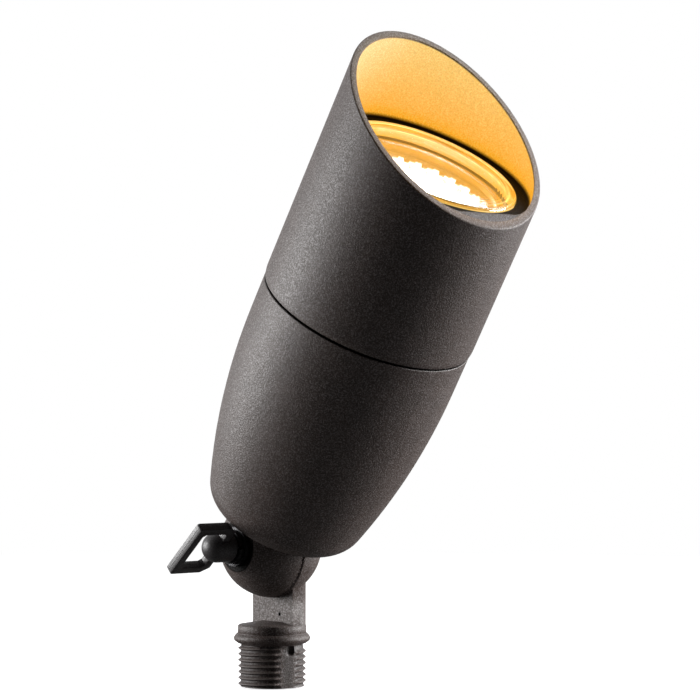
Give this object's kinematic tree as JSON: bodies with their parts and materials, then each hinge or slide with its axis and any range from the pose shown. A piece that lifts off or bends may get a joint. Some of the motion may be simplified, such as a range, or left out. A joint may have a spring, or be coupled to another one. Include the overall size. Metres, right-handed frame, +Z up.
{
  "type": "outdoor spotlight",
  "caption": "Garden spotlight with an ogive cast housing, a slant-cut turning cowl, a serrated tilt knuckle locked by a looped wing screw, and a threaded stem.",
  "frame": {"origin": "centre of the stem's lower end, on the axis of its thread", "axes": "+Z up the stem, -Z out of the threaded end; the tilt hinge and the wing screw run along Y, with the wing towards -Y; the head leans towards +X"},
  "size_m": [0.1143, 0.0666, 0.1961],
  "materials": {
    "coat": "matte textured powder coat, dark bronze, on cast aluminium",
    "wing_coat": "satin textured powder coat, dark bronze, on cast zinc or aluminium",
    "rubber": "matte",
    "lead_cover": "matte",
    "zinc_steel": "satin zinc plate",
    "stainless": "satin",
    "black_steel": "satin black oxide",
    "brass": "satin",
    "socket_ceramic": "matte",
    "lens_glass": "polished",
    "lamp_glass": "polished",
    "reflector": "polished facets",
    "clamp_metal": "satin"
  },
  "bodies": {
    "stem": {"stem": "coat", "screw_insert": "brass", "knuckle_seal": "rubber", "inlet_seal": "rubber"},
    "head": {"housing": "coat", "housing_grommet": "rubber", "socket_bracket": "zinc_steel", "bracket_screws": "zinc_steel", "lamp_socket": "socket_ceramic", "socket_screws": "zinc_steel", "socket_contacts": "brass", "socket_leads": "lead_cover", "lamp_base": "socket_ceramic", "lamp_pins": "stainless", "lamp_burner": "lamp_glass", "lamp_reflector": "reflector", "lamp_cover_glass": "lamp_glass", "neck_o_ring": "rubber"},
    "cowl": {"cowl": "coat", "lens": "lens_glass", "lens_gasket": "rubber", "lens_clamp_ring": "clamp_metal"},
    "washers": {"flat_washer": "black_steel", "spring_washer": "black_steel"},
    "wing": {"wing_handle": "wing_coat", "wing_stud": "stainless"}
  },
  "joints": [
    {"name": "head_tilt", "type": "hinge", "parent": "stem", "child": "head", "pos_m": [0, 0, 0.0434], "axis": [0, 1, 0], "range_deg": [-112.5, 47.5]},
    {"name": "cowl_turn", "type": "hinge", "parent": "head", "child": "cowl", "pos_m": [0, -0.0012, 0.0434], "axis": [0.5373, 0, 0.8434], "continuous": true},
    {"name": "washer_travel", "type": "slide", "parent": "stem", "child": "washers", "axis": [0, -1, 0], "range_m": [0, 0.002]},
    {"name": "wing_turn", "type": "hinge", "parent": "washers", "child": "wing", "pos_m": [0, 0, 0.0434], "axis": [0, -1, 0], "range_deg": [0, 720]}
  ],
  "couplings": [
    {"joint": "wing_turn", "follows": "washer_travel", "rad_per_m": 6283.2}
  ]
}
